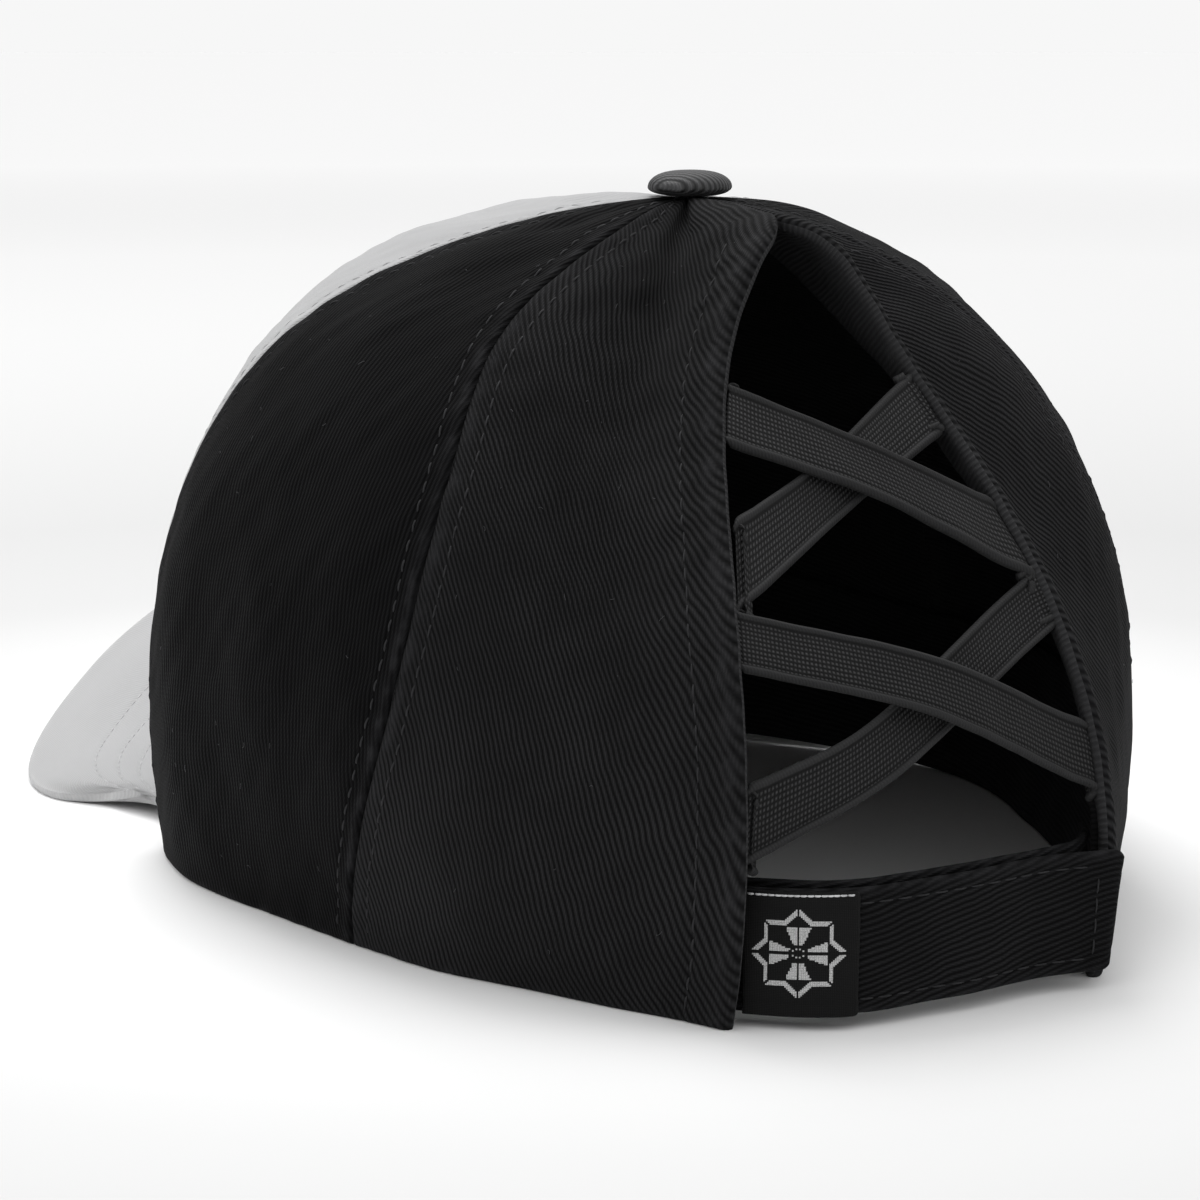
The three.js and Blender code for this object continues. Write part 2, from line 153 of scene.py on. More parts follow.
# Camera
VIEW_TURN = 156.0
VIEW_RISE = 10.354
VIEW_DISTANCE = 519.76
VIEW_FOCAL = 3056.78
VIEW_ACROSS = -14.70
VIEW_UP = 46.31
PHOTO_SIDE = 1200
SENSOR = 36.0

# Stage: the floor's painted light as tones by metres from its middle, lightest next to the cap where its shadow falls,
# the radii of its rings, the white room's light from the horizon, from above and as the camera sees it, and each lamp's
# place, aim and power
FLOOR_PAINTED_LIGHT = [(0.1, 0.95), (0.17, 0.72), (0.24, 0.61), (0.36, 0.58), (1.5, 0.82), (3.0, 0.97)]
FLOOR_FADE = 3.0
FLOOR_RINGS = [0.5, 40.0]
FLOOR_SIDES = 96
WORLD_LOW = 0.1
WORLD_HIGH = 1.42
WORLD_SEEN = 0.93
LAMP_SIDE = 0.7
LAMPS = {
    "overhead": ((0.0, -0.6, 1.35), (0, 0.05, 0.05), 10),
    "left": ((1.3, -0.2, 0.7), (0, 0, 0.06), 2),
    "right": ((-1.1, 0.9, 0.8), (0, 0, 0.06), 1.5),
}


def smoothstep(value, low, high):
    share = np.clip((value - low) / (high - low), 0, 1)
    return share * share * (3 - 2 * share)


def column(values, place, mirrored=False):
    """Smooth curve through evenly spaced values."""
    v = list(values)
    before = v[1] if mirrored else 2 * v[0] - v[1]
    after = v[-2] if mirrored else 2 * v[-1] - v[-2]
    v = np.array([before, *v, after], float)
    place = np.asarray(place, float)
    i = np.clip(np.floor(place).astype(int), 0, len(values) - 2)
    u = place - i
    a, b, c, d = v[i], v[i + 1], v[i + 2], v[i + 3]
    return b + u * ((c - a) / 2 + u * (a - 2.5 * b + 2 * c - d / 2 + u * (3 * (b - c) + d - a) / 2))


def rim_height(turn):
    away = np.minimum(np.abs(turn) / RISE_HALF_TURN, 1)
    return FRONT_RISE * np.cos(away * math.pi / 2) ** 2


def crown_profile(turn, climb):
    turn, climb = np.broadcast_arrays(np.asarray(turn, float), np.asarray(climb, float))
    away = np.abs((turn + 180) % 360 - 180)
    angle = np.radians(turn)
    oval = 1 / np.hypot(np.sin(angle) * 2 / CROWN_WIDTH, np.cos(angle) * 2 / CROWN_LENGTH)
    reach, lean, waist, shoulder = (column(SECTIONS[name], away / 30, True) for name in SECTIONS)
    low = rim_height(away)
    left = 1 - climb
    b0, b1, b2, b3 = left ** 3, 3 * left ** 2 * climb, 3 * left * climb ** 2, climb ** 3
    radius = oval * reach * (b0 + b1 * (1 + lean) + b2 * shoulder)
    height = low * b0 + (low + waist * (CROWN_HEIGHT - low)) * b1 + CROWN_HEIGHT * (b2 + b3)
    return radius, height


def crown_point(turn, climb):
    radius, height = crown_profile(turn, climb)
    angle = np.radians(turn)
    return np.stack([radius * np.sin(angle), -radius * np.cos(angle), height], -1)


def unit(vectors):
    return vectors / np.maximum(np.linalg.norm(vectors, axis=-1, keepdims=True), 1e-12)


def arc_lengths(points):
    return np.concatenate([[0], np.cumsum(np.linalg.norm(np.diff(points, axis=0), axis=-1))])


def interpolate(places, known, points):
    """Points or directions at some places, from those at the known ones."""
    return np.stack([np.interp(places, known, points[:, axis]) for axis in range(3)], -1)


def crown_normal(turn, climb):
    """Outward direction on the crown, level at the rim."""
    lower = np.maximum(climb - 0.004, 0)
    upper = np.minimum(climb + 0.004, 0.996)
    along = crown_point(turn + 0.5, climb) - crown_point(turn - 0.5, climb)
    normal = unit(np.cross(along, crown_point(turn, upper) - crown_point(turn, lower)))
    normal[..., 2] *= smoothstep(climb, 0, 0.05)
    return unit(normal)


def crown_skin(turn, climb, distance):
    return crown_point(turn, climb) + crown_normal(turn, climb) * np.asarray(distance)[..., None]


def bisect(low, high, test):
    """Halves intervals, which are arrays, until the test changes sides in them."""
    for _ in range(32):
        middle = (low + high) / 2
        below = test(middle)
        low = np.where(below, middle, low)
        high = np.where(below, high, middle)
    return (low + high) / 2


def climb_at_height(turn, height):
    turn, height = np.broadcast_arrays(np.asarray(turn, float), np.asarray(height, float))
    return bisect(np.zeros(turn.shape), np.full(turn.shape, 0.9), lambda c: crown_profile(turn, c)[1] < height)


def climb_at_radius(turn, radius):
    turn = np.asarray(turn, float)
    return bisect(np.full(turn.shape, 0.7), np.ones(turn.shape), lambda c: crown_profile(turn, c)[0] > radius)


def opening_half(climb):
    share = np.minimum(climb / OPENING_TOP, 1)
    return OPENING_WIDTH / 2 * np.maximum(1 - share ** OPENING_ROUND, 0) ** OPENING_SHOULDER


def opening_turn(climb):
    climb = np.asarray(climb, float)
    half = opening_half(climb)
    return bisect(np.full(climb.shape, 115.0), np.full(climb.shape, 180.0),
                  lambda turn: crown_profile(turn, climb)[0] * np.sin(np.radians(turn)) > half)


def ripple(along, length, seed):
    """Uneven wave along a line."""
    slow = np.sin(TURN * along / (length * 4.7) + seed * 1.7)
    return np.sin(TURN * along / length + 1.6 * slow + seed) * (0.75 + 0.25 * slow)


def unevenness(x, y, length, seed):
    """Smooth noise over a surface, from seven waves of about one length."""
    chance = np.random.RandomState(seed)
    total = 0
    for _ in range(7):
        heading = chance.uniform(0, math.pi)
        number = TURN / (length * chance.uniform(0.7, 1.6))
        total = total + np.sin(number * (x * math.cos(heading) + y * math.sin(heading)) + chance.uniform(0, 6.3))
    return total / 3.2


# Pieces
def add_object(name, data):
    item = bpy.data.objects.new(name, data)
    bpy.context.scene.collection.objects.link(item)
    return item


def make_piece(name, points, faces, materials, nodes=(), uv=None, kinds=None, tones=None):
    """A shaded mesh from points in millimetres. uv is in millimetres on the cloth, tones a worn share per point."""
    mesh = bpy.data.meshes.new(name)
    mesh.from_pydata((points * MM + AXIS).tolist(), [], [list(face) for face in faces])
    mesh.polygons.foreach_set("use_smooth", np.ones(len(mesh.polygons), bool))
    for material in materials:
        mesh.materials.append(material)
    if kinds is not None:
        mesh.polygons.foreach_set("material_index", np.asarray(kinds, np.int32))
    corners = np.zeros(len(mesh.loops), np.int32)
    mesh.loops.foreach_get("vertex_index", corners)
    if uv is not None:
        layer = mesh.uv_layers.new(name="cloth")
        layer.data.foreach_set("uv", np.asarray(uv, float)[corners].ravel())
    if tones is not None:
        tone = mesh.attributes.new("wear", "FLOAT", "POINT")
        tone.data.foreach_set("value", np.asarray(tones, float))
    mesh.update()
    piece = add_object(name, mesh)
    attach(piece, "root")
    if nodes:
        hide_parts(*nodes)


def grid_faces(rows, cols, first, flip):
    r, c = np.meshgrid(np.arange(rows - 1), np.arange(cols - 1), indexing="ij")
    a = first + r * cols + c
    quads = np.stack([a, a + 1, a + cols + 1, a + cols], -1).reshape(-1, 4)
    return quads[:, ::-1] if flip else quads


def closed_sheet(outer, inner, flip=False):
    """Points and faces of a sheet with two faces and a narrow wall round its edge. Outer faces come first."""
    rows, cols = outer.shape[:2]
    count = rows * cols
    points = np.concatenate([outer.reshape(-1, 3), inner.reshape(-1, 3)])
    index = np.arange(count).reshape(rows, cols)
    loop = np.concatenate([index[0, :-1], index[:-1, -1], index[-1, :0:-1], index[:0:-1, 0]])
    ahead = np.roll(loop, -1)
    wall = np.stack([loop + count, ahead + count, ahead, loop], -1)
    if flip:
        wall = wall[:, ::-1]
    faces = np.concatenate([grid_faces(rows, cols, 0, flip), grid_faces(rows, cols, count, not flip), wall])
    kinds = np.concatenate([np.zeros((rows - 1) * (cols - 1)), np.ones(len(faces) - (rows - 1) * (cols - 1))])
    return points, faces, kinds.astype(int)


def make_sheet(name, outer, inner, materials, node, u, v, worn=None, flip=False):
    """A closed sheet in place of one node. A second material is for the inner face and the narrow wall."""
    points, faces, kinds = closed_sheet(outer, inner, flip)
    uv = np.stack(np.broadcast_arrays(u, v), -1).reshape(-1, 2)
    make_piece(name, points, faces, materials, [node], np.tile(uv, (2, 1)),
               kinds if len(materials) > 1 else None, None if worn is None else np.tile(worn.ravel(), 2))


def rounding(edge, half):
    """How far each face of a sheet draws back towards its middle near an edge."""
    share = 1 - np.clip(edge / half, 0, 1)
    return half * 0.94 * (1 - np.sqrt(1 - share ** 2))


class Panel:
    """A crown panel from one edge to another, each given as turns at climbs. Its surface has the seams' relief."""

    def __init__(self, start, end, mirror, seed, hem=False):
        self.start, self.end, self.mirror, self.seed, self.hem = start, end, mirror, seed, hem
        climbs = np.linspace(0, 0.995, 300)
        shares = np.linspace(0, 1, 25)[:, None]
        turns = start(climbs) + (end(climbs) - start(climbs)) * shares
        points = crown_point(turns, climbs)
        self.climbs = climbs
        self.widths = np.linalg.norm(np.diff(points, axis=0), axis=-1).sum(0)
        self.arcs = arc_lengths(points[len(shares) // 2])

    def width(self, climb):
        return np.interp(climb, self.climbs, self.widths)

    def arc(self, climb):
        return np.interp(climb, self.climbs, self.arcs)

    def hemmed(self, climb):
        return 1 - smoothstep(climb, OPENING_TOP - 0.01, OPENING_TOP + 0.04) if self.hem else 0 * climb

    def surface(self, distance, climb):
        """Outer and inner points, normals and wear at a distance from the first edge."""
        distance, climb = np.broadcast_arrays(distance, climb)
        width = self.width(climb)
        start, end = self.start(climb), self.end(climb)
        turn = start + (end - start) * distance / width
        point, normal = crown_point(turn, climb), crown_normal(turn, climb)
        scale = np.minimum(width / FULL_RELIEF_WIDTH, 1)
        along = self.arc(climb)
        first, last = distance / scale, (width - distance) / scale
        hemmed = self.hemmed(climb)
        relief = self.seam(first, along, self.seed) + (1 - hemmed) * self.seam(last, along, self.seed + 2.1)
        relief = relief + hemmed * self.turned_edge(last, along)
        inside = smoothstep(np.minimum(first, last), 0, FLAT_MARGIN)
        across = distance - width / 2
        waves = BROAD_HEIGHT * unevenness(across, along, BROAD_LENGTH, int(self.seed * 10) + 1) * inside
        waves = waves + SMALL_HEIGHT * unevenness(across, along, SMALL_LENGTH, int(self.seed * 10) + 2)
        gathers = GATHER_HEIGHT * np.sin(distance / width * TURN * GATHERS + self.seed) * inside
        gathers = gathers * smoothstep(climb, *GATHER_CLIMBS)
        relief = scale * relief + waves + gathers * scale
        wall = CLOTH_WALL + hemmed * (HEM_WALL - CLOTH_WALL) * (1 - smoothstep(last, HEM_WIDTH * 0.6, HEM_WIDTH * 1.4))
        rim = rounding(along, RIM_ROUND)
        edge = rounding(last, wall / 2) * hemmed
        back = np.maximum(rim, edge)
        outer = point + normal * (relief - back)[..., None]
        inner = point + normal * (np.minimum(relief, 0) * 0.5 + waves + back - wall)[..., None]
        worn = np.exp(-((first - 1.6) / 1.0) ** 2) + np.exp(-((last - 1.4) / 1.0) ** 2) + np.exp(-(along / 1.2) ** 2)
        if self.mirror:
            outer, inner, normal = (part * [-1, 1, 1] for part in (outer, inner, normal))
        return outer, inner, normal, np.clip(worn, 0, 1)

    def seam(self, distance, along, seed):
        ditch = -0.42 * np.exp(-(distance / 0.4) ** 2)
        roll = 0.12 * np.exp(-((distance - 1.4) / 0.9) ** 2)
        row = -0.13 * np.exp(-((distance - SEAM_ROW) / 0.4) ** 2)
        row = row * (1 + 0.5 * np.cos(TURN * along / STITCH_PITCH))
        pucker = 0.11 * ripple(along, 8.4, seed) * np.exp(-((distance - 3) / 2.4) ** 2)
        return ditch + roll + row + pucker

    def turned_edge(self, distance, along):
        roll = 0.25 * np.exp(-((distance - 1.3) / 1.2) ** 2)
        row = -0.2 * np.exp(-((distance - HEM_WIDTH) / 0.45) ** 2)
        row = row * (1 + 0.4 * np.cos(TURN * along / STITCH_PITCH))
        pucker = 0.16 * ripple(along, 8.3, self.seed + 4) * np.exp(-((distance - 4.5) / 3) ** 2)
        return roll + row + pucker

    def build(self, name, materials, slot):
        length = self.arcs[-1]
        low = [0, 0.15, 0.35, 0.6, 0.9]
        arcs = np.concatenate([low, np.linspace(1.6, length, int(length / 1.15))])
        shares = np.interp(arcs, self.arcs, self.climbs) / self.climbs[-1]
        steps = np.array(EDGE_STEPS)
        middle_count = int(self.widths.max() / 1.6)
        climb = shares[:, None] * np.ones(2 * len(steps) + middle_count)
        for _ in range(3):
            width = self.width(climb)
            scale = np.minimum(width / FULL_RELIEF_WIDTH, 1)
            reach = scale[:, :1] * steps[-1]
            inner = np.linspace(0, 1, middle_count + 2)[1:-1]
            centre = reach + (width[:, :1] - 2 * reach) * inner
            low_side = scale[:, :1] * steps
            high_side = width[:, :1] - scale[:, :1] * steps[::-1]
            share = np.concatenate([low_side, centre, high_side], 1) / width[:, :1]
            turn = self.start(climb) + (self.end(climb) - self.start(climb)) * share
            climb = shares[:, None] * climb_at_radius(turn, HOLE_RADIUS)
        distance = share * self.width(climb)
        outer, inner, _, worn = self.surface(distance, climb)
        across = (distance - self.width(climb) / 2) * (-1 if self.mirror else 1)
        make_sheet(name + "_cloth", outer, inner, materials, name, across, self.arc(climb), worn, self.mirror)

    def row(self, distance, last=False, low=0.01, high=0.93):
        """A line of sewing at a distance from one edge: points and normals."""
        climb = np.linspace(low, high, 400)
        scale = np.minimum(self.width(climb) / FULL_RELIEF_WIDTH, 1)
        away = self.width(climb) - distance * scale if last else distance * scale
        outer, _, normal, _ = self.surface(away, climb)
        return outer, normal


def stitches(name, rows, material, radius=THREAD_RADIUS, pitch=STITCH_PITCH, length=STITCH_LENGTH):
    """Short threads along rows of points and normals, each one dipping into the cloth at both ends."""
    lift = np.array([-0.9, 0.3, 0.75, 0.3, -0.9]) * radius
    swell = np.array([0.7, 1, 1, 1, 0.7]) * radius
    sides, levels = 6, len(lift)
    angles = np.arange(sides) * math.pi / 3
    all_points, all_faces = [], []
    chance = np.random.RandomState(7)
    for points, normals in rows:
        total = arc_lengths(points)
        starts = np.arange(0.4, total[-1] - length, pitch)
        starts = starts + chance.uniform(-0.12, 0.12, len(starts))
        places = starts[:, None] + np.linspace(0, length, levels)
        middle = interpolate(places, total, points)
        normal = unit(interpolate(places, total, normals))
        forward = unit(middle[:, -1:] - middle[:, :1])
        side = np.cross(normal, forward)
        middle = middle + normal * lift[:, None]
        ring = (normal[:, :, None] * np.sin(angles)[:, None] + side[:, :, None] * np.cos(angles)[:, None])
        ring = middle[:, :, None] + ring * swell[:, None, None]
        first = sum(len(part) for part in all_points)
        all_points.append(ring.reshape(-1, 3))
        base = first + np.arange(len(starts))[:, None] * sides * levels
        for level in range(levels - 1):
            for corner in range(sides):
                a, b = level * sides + corner, level * sides + (corner + 1) % sides
                all_faces.append(np.concatenate([base + a, base + b, base + b + sides, base + a + sides], 1))
        for cap in ((0, 3, 2, 1), (0, 5, 4, 3), (24, 25, 26, 27), (24, 27, 28, 29)):
            all_faces.append(base + np.array(cap))
    make_piece(name, np.concatenate(all_points), np.concatenate(all_faces), [material])


# Materials
class Shading:
    """Builds one procedural cloth material."""

    def __init__(self, name, colour, roughness, sheen=0.0, sheen_roughness=0.5, specular=0.3):
        self.material = bpy.data.materials.new(name)
        self.material.use_nodes = True
        self.nodes, self.links = self.material.node_tree.nodes, self.material.node_tree.links
        self.shader = self.nodes["Principled BSDF"]
        self.shader.inputs["Base Color"].default_value = (*colour, 1)
        self.shader.inputs["Roughness"].default_value = roughness
        self.shader.inputs["Specular IOR Level"].default_value = specular
        self.shader.inputs["Sheen Weight"].default_value = sheen
        self.shader.inputs["Sheen Roughness"].default_value = sheen_roughness
        cloth = self.nodes.new("ShaderNodeUVMap")
        cloth.uv_map = "cloth"
        split = self.nodes.new("ShaderNodeSeparateXYZ")
        self.links.new(cloth.outputs[0], split.inputs[0])
        self.cloth, self.u, self.v = cloth.outputs[0], split.outputs[0], split.outputs[1]
        place = self.nodes.new("ShaderNodeTexCoord")
        self.place = place.outputs["Object"]

    def feed(self, socket, value):
        if isinstance(value, (int, float)):
            socket.default_value = value
        else:
            self.links.new(value, socket)

    def math(self, operation, a, b=0.0, c=0.0):
        node = self.nodes.new("ShaderNodeMath")
        node.operation = operation
        for socket, value in zip(node.inputs, (a, b, c)):
            self.feed(socket, value)
        return node.outputs[0]

    def times(self, a, b):
        return self.math("MULTIPLY", a, b)

    def noise(self, scale, vector=None, detail=2.0, roughness=0.5):
        node = self.nodes.new("ShaderNodeTexNoise")
        node.inputs["Scale"].default_value = scale
        node.inputs["Detail"].default_value = detail
        node.inputs["Roughness"].default_value = roughness
        self.links.new(self.cloth if vector is None else vector, node.inputs["Vector"])
        return node.outputs["Fac"]

    def attribute(self, name):
        node = self.nodes.new("ShaderNodeAttribute")
        node.attribute_name = name
        return node.outputs["Fac"]

    def turned(self, degrees):
        """The cloth's coordinates turned by an angle: along and across."""
        cos, sin = math.cos(math.radians(degrees)), math.sin(math.radians(degrees))
        along = self.math("ADD", self.times(self.u, cos), self.times(self.v, sin))
        across = self.math("SUBTRACT", self.times(self.v, cos), self.times(self.u, sin))
        return along, across

    def wave(self, value, period, wobble=None, amount=0.0):
        """A sine from 0 to 1."""
        if wobble is not None:
            value = self.math("ADD", value, self.times(self.math("SUBTRACT", wobble, 0.5), amount))
        sine = self.math("SINE", self.times(value, TURN / period))
        return self.math("MULTIPLY_ADD", sine, 0.5, 0.5)

    def ramp(self, value, low, high, floor=0.0, ceiling=1.0):
        node = self.nodes.new("ShaderNodeMapRange")
        node.interpolation_type = "SMOOTHSTEP"
        self.links.new(value, node.inputs["Value"])
        for socket, number in (("From Min", low), ("From Max", high), ("To Min", floor), ("To Max", ceiling)):
            node.inputs[socket].default_value = number
        return node.outputs["Result"]

    def blend(self, share, first, second):
        node = self.nodes.new("ShaderNodeMix")
        node.data_type = "RGBA"
        self.feed(node.inputs["Factor"], share)
        for socket, colour in ((node.inputs[6], first), (node.inputs[7], second)):
            if isinstance(colour, tuple):
                socket.default_value = (*colour, 1)
            else:
                self.links.new(colour, socket)
        return node.outputs[2]

    def bump(self, height, distance, strength=1.0, under=None):
        node = self.nodes.new("ShaderNodeBump")
        node.inputs["Distance"].default_value = distance * MM
        node.inputs["Strength"].default_value = strength
        self.links.new(height, node.inputs["Height"])
        if under is not None:
            self.links.new(under, node.inputs["Normal"])
        return node.outputs["Normal"]

    def finish(self, colour, normal, roughness=None):
        self.links.new(colour, self.shader.inputs["Base Color"])
        self.links.new(normal, self.shader.inputs["Normal"])
        if roughness is not None:
            self.links.new(roughness, self.shader.inputs["Roughness"])
        return self.material


# Black twill colours: black with painted shade for the grooves, a painted highlight for the ribs, and a faded colour
# for wear
BLACK = (0.0003, 0.0003, 0.0003)
PAINTED_RIB_HIGHLIGHT = (0.03, 0.03, 0.0314)
FADED = (0.028, 0.028, 0.03)


def twill(name, angle, light=PAINTED_RIB_HIGHLIGHT, dark=BLACK, worn=FADED, period=0.92, depth=0.26, sheen=0.01, specular=0.04,
          rough=0.75):
    """Twill: diagonal ribs made of short slanting yarns, faded by patches and worn along its edges. The colour goes
    from dark to light with the weave's height: painted highlight on the ribs, painted shade in the grooves.
    """
    s = Shading(name, dark, rough, sheen, 0.45, specular)
    along, across = s.turned(angle)
    wander = s.noise(0.06, detail=3)
    rib = s.wave(across, period, wander, 2.4)
    slanted = s.math("ADD", s.times(along, 0.55), across)
    yarn = s.wave(slanted, period * 0.5, wander, 1.2)
    fuzz = s.noise(3.2, detail=3)
    weave = s.math("MULTIPLY_ADD", rib, 0.62, s.times(s.times(yarn, rib), 0.34))
    height = s.math("ADD", weave, s.times(fuzz, 0.3))
    patch = s.noise(0.035, detail=4, roughness=0.6)
    tone = s.times(weave, s.ramp(patch, 0.3, 0.7, 0.55, 1.0))
    tone = s.math("MULTIPLY_ADD", fuzz, 0.25, tone)
    # Painted highlight on the ribs and painted shade in the grooves, scaled by random patches of real tone
    colour = s.blend(tone, dark, light)
    fade = s.times(s.attribute("wear"), s.ramp(s.noise(0.22, detail=4), 0.4, 0.75, 0.1, 0.75))
    colour = s.blend(fade, colour, worn)
    return s.finish(colour, s.bump(height, depth, 1.0), s.ramp(fuzz, 0.2, 0.8, rough - 0.1, min(rough + 0.12, 1)))


black_steep = twill("black_twill_left_rear", 121)
# The left side panel's ribs are painted darker than the other black panels' ribs: painted shade on that panel
black_side_painted_shade = twill("black_twill_left_side_painted_shade", 97, (0.0085, 0.0085, 0.0092), depth=0.12)
black_low = twill("black_twill_right_rear", 117)
black_far = twill("black_twill_right_side", 118, depth=0.16)
black_strap = twill("black_twill_strap", 13, (0.02, 0.02, 0.0212), period=0.9, depth=0.2)
black_lining = twill("black_lining", 4, (0.05, 0.05, 0.052), (0.024, 0.024, 0.025), (0.05, 0.05, 0.052), 0.9, 0.16)
# The button's rib colour is about four times as light as the crown's ribs: painted sheen on the button
black_button_painted_sheen = twill("black_twill_button", 128, (0.13, 0.13, 0.134), period=0.8, depth=0.24, specular=0.3, rough=0.55)
grey_cloth = twill("light_grey_twill", 63, (0.485, 0.485, 0.49), (0.4, 0.4, 0.404), (0.54, 0.54, 0.54), 0.6, 0.06,
                   sheen=0.2, rough=0.85)


def thread_material(name, colour):
    s = Shading(name, colour, 0.6, 0.02, 0.4, 0.1)
    fibre = s.noise(900, s.place, detail=2)
    shade = s.blend(fibre, tuple(part * 0.6 for part in colour), tuple(min(part * 1.5, 1) for part in colour))
    return s.finish(shade, s.bump(fibre, 0.04))


black_thread = thread_material("black_thread", (0.026, 0.026, 0.0275))
grey_thread = thread_material("light_grey_thread", (0.46, 0.46, 0.465))
pale_thread = thread_material("pale_thread", (0.55, 0.55, 0.56))
lint_fibre = thread_material("lint", (0.085, 0.085, 0.09))


def elastic_material():
    """Knitted elastic: columns of small loops across the ribs, with a smooth cord along each edge. The colour goes from
    dark to light with the relief: painted highlight on the loops and cords, painted shade between them.
    """
    s = Shading("knitted_elastic", (0.02, 0.02, 0.021), 0.6, 0.02, 0.4, 0.12)
    wander = s.noise(0.25, detail=2)
    ribs = s.wave(s.u, 0.62, wander, 0.3)
    columns = s.wave(s.v, 0.66, wander, 0.2)
    loops = s.times(s.math("POWER", ribs, 0.8), s.math("POWER", columns, 1.2))
    side = s.math("ABSOLUTE", s.v)
    middle = s.ramp(side, ELASTIC_WIDTH / 2 - 1.35, ELASTIC_WIDTH / 2 - 1.1, 1.0, 0.0)
    cord = s.math("MULTIPLY_ADD", s.wave(s.math("MULTIPLY_ADD", s.v, 0.6, s.u), 0.5), 0.1, 0.26)
    cord = s.times(cord, s.ramp(side, ELASTIC_WIDTH / 2 - 1.15, ELASTIC_WIDTH / 2 - 0.85))
    loops = s.times(loops, middle)
    height = s.math("ADD", loops, s.times(cord, s.math("SUBTRACT", 1.0, middle)))
    fuzz = s.noise(4, detail=3)
    # Painted highlight on the raised loops and cords, painted shade in the dips between them
    tone = s.math("MULTIPLY_ADD", height, 0.85, s.times(fuzz, 0.15))
    colour = s.blend(tone, (0.0004, 0.0004, 0.0005), (0.078, 0.078, 0.08))
    return s.finish(colour, s.bump(height, 0.3))


def label_material():
    """Black satin label with a woven eight-pointed star in white yarn."""
    s = Shading("woven_label", (0.01, 0.01, 0.01), 0.5, 0.02, 0.4, 0.1)
    pick = 0.24
    centre = (LABEL_LENGTH / 2 - 0.3, 0.1)
    x, y = (s.math("ABSOLUTE", s.math("SUBTRACT", s.times(s.math("FLOOR", s.math("DIVIDE", axis, pick)), pick), middle))
            for axis, middle in zip((s.u, s.v), centre))
    square = s.math("MAXIMUM", x, y)
    diamond = s.times(s.math("ADD", x, y), math.sqrt(0.5))
    star = s.math("MINIMUM", square, diamond)
    far = s.math("MAXIMUM", square, diamond)

    def between(value, low, high):
        return s.times(s.math("GREATER_THAN", value, low), s.math("LESS_THAN", value, high))

    white = between(star, 4.1, 4.75)
    petals = s.math("GREATER_THAN", s.math("SUBTRACT", square, diamond), -0.1)
    white = s.math("MAXIMUM", white, s.times(between(far, 1.3, 3.9), petals))
    white = s.math("MAXIMUM", white, s.math("LESS_THAN", far, 0.8))
    gaps = s.math("GREATER_THAN", s.math("MINIMUM", s.math("ABSOLUTE", s.math("SUBTRACT", x, y)),
                                         s.math("MINIMUM", x, y)), 0.2)
    white = s.times(white, gaps)
    satin = s.times(s.wave(s.u, pick), s.wave(s.v, pick))
    frayed = s.times(white, s.ramp(s.noise(5, detail=3), 0.3, 0.5, 0.45, 1.0))
    base = s.blend(satin, (0.003, 0.003, 0.003), (0.014, 0.014, 0.0145))
    yarn = s.blend(satin, (0.42, 0.42, 0.42), (0.8, 0.8, 0.8))
    colour = s.blend(frayed, base, yarn)
    height = s.math("MULTIPLY_ADD", satin, 0.5, s.times(frayed, 0.6))
    return s.finish(colour, s.bump(height, 0.1))


knitted = elastic_material()
woven = label_material()


# Crown panels
def no_turn(climb):
    return 0 * climb


def front_seam(climb):
    return column(FRONT_SEAM, climb * 5)


def rear_seam(climb):
    return column(REAR_SEAM, climb * 5)


panels, black_rows, grey_rows = {}, [], []
for name, start, end, seed, cloth in (("front_panel_left", no_turn, front_seam, 1.0, grey_cloth),
                                      ("front_panel_right", no_turn, front_seam, 1.4, grey_cloth),
                                      ("side_panel_left", front_seam, rear_seam, 2.0, black_side_painted_shade),
                                      ("side_panel_right", front_seam, rear_seam, 2.7, black_far),
                                      ("rear_panel_left", rear_seam, opening_turn, 3.3, black_steep),
                                      ("rear_panel_right", rear_seam, opening_turn, 3.9, black_low)):
    panel = panels[name] = Panel(start, end, name.endswith("right"), seed, end is opening_turn)
    slot, rows = ("grey_twill", grey_rows) if cloth is grey_cloth else ("black_twill", black_rows)
    panel.build(name, [cloth, black_lining], slot)
    rows.append(panel.row(SEAM_ROW))
    rows.append(panel.row(HEM_WIDTH, last=True, high=0.8) if panel.hem else panel.row(SEAM_ROW, last=True))
stitches("crown_stitches", black_rows, black_thread)
stitches("front_stitches", grey_rows, grey_thread)


# Peak
def peak_root(share, lift):
    turn = (2 * share - 1) * PEAK_HALF_TURN
    return crown_skin(turn, climb_at_height(turn, rim_height(turn) + lift), PIECE_GAP)


def peak_edge(share):
    side = 2 * share - 1
    place = np.abs(side) * (len(PEAK_SIDE) - 1)
    corner = crown_point(PEAK_HALF_TURN, 0)
    tip = crown_point(0, 0)[1] - PEAK_LENGTH
    across = column(PEAK_SIDE, place) * np.sign(side) * PEAK_WIDTH / 2
    forward = corner[1] + (tip - corner[1]) * column(PEAK_FORWARD, place, True)
    height = np.maximum(column(PEAK_HEIGHT, place, True), 0) * PEAK_ARCH
    return np.stack([across, forward, height], -1)


